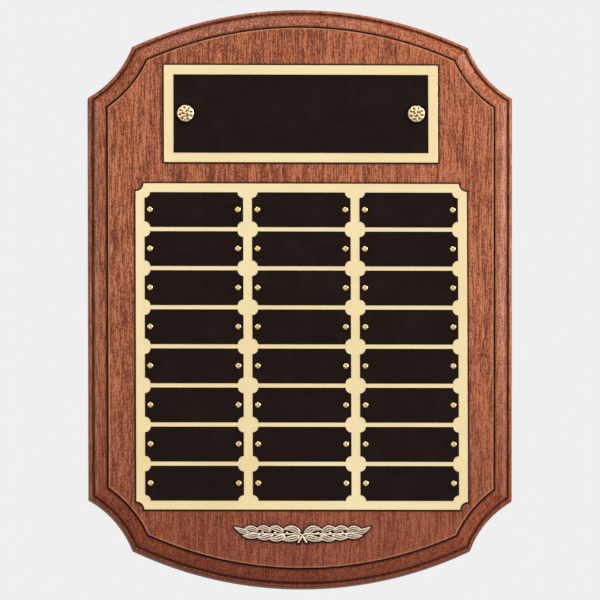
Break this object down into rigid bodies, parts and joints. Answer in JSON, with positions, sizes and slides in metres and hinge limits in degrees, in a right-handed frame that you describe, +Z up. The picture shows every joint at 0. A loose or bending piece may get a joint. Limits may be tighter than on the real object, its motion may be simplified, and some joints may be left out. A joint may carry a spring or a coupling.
{
  "type": "wall award plaque",
  "caption": "Wall-hung perpetual award plaque: moulded wooden board with arched ends, bordered header plate, grid of engraving plates, laurel spray and keyhole hanger.",
  "frame": {"origin": "centre of the board's back face, where it lies against the wall", "axes": "+Z up, -Y out of the face towards the viewer, +X to the viewer's right"},
  "size_m": [0.2794, 0.0236, 0.382],
  "materials": {
    "walnut": "semi-gloss lacquered walnut",
    "satin_brass": "satin lacquered brass sheet",
    "black_lacquer": "satin black lacquer on brass sheet",
    "bright_gold": "polished gold-plated brass",
    "zinc_steel": "zinc-plated steel"
  },
  "bodies": {
    "root": {"walnut_board": "walnut", "header_border": "satin_brass", "header_plate": "black_lacquer", "rosette_tack_left": "bright_gold", "rosette_tack_right": "bright_gold", "roster_backing_plate": "satin_brass", "laurel_spray": "bright_gold", "keyhole_hanger": "zinc_steel", "hanger_screw_upper": "zinc_steel", "hanger_screw_lower": "zinc_steel", "nameplate_row1_column1": "black_lacquer", "nameplate_row1_column2": "black_lacquer", "nameplate_row1_column3": "black_lacquer", "nameplate_row2_column1": "black_lacquer", "nameplate_row2_column2": "black_lacquer", "nameplate_row2_column3": "black_lacquer", "nameplate_row3_column1": "black_lacquer", "nameplate_row3_column2": "black_lacquer", "nameplate_row3_column3": "black_lacquer", "nameplate_row4_column1": "black_lacquer", "nameplate_row4_column2": "black_lacquer", "nameplate_row4_column3": "black_lacquer", "nameplate_row5_column1": "black_lacquer", "nameplate_row5_column2": "black_lacquer", "nameplate_row5_column3": "black_lacquer", "nameplate_row6_column1": "black_lacquer", "nameplate_row6_column2": "black_lacquer", "nameplate_row6_column3": "black_lacquer", "nameplate_row7_column1": "black_lacquer", "nameplate_row7_column2": "black_lacquer", "nameplate_row7_column3": "black_lacquer", "nameplate_row8_column1": "black_lacquer", "nameplate_row8_column2": "black_lacquer", "nameplate_row8_column3": "black_lacquer"}
  },
  "joints": []
}
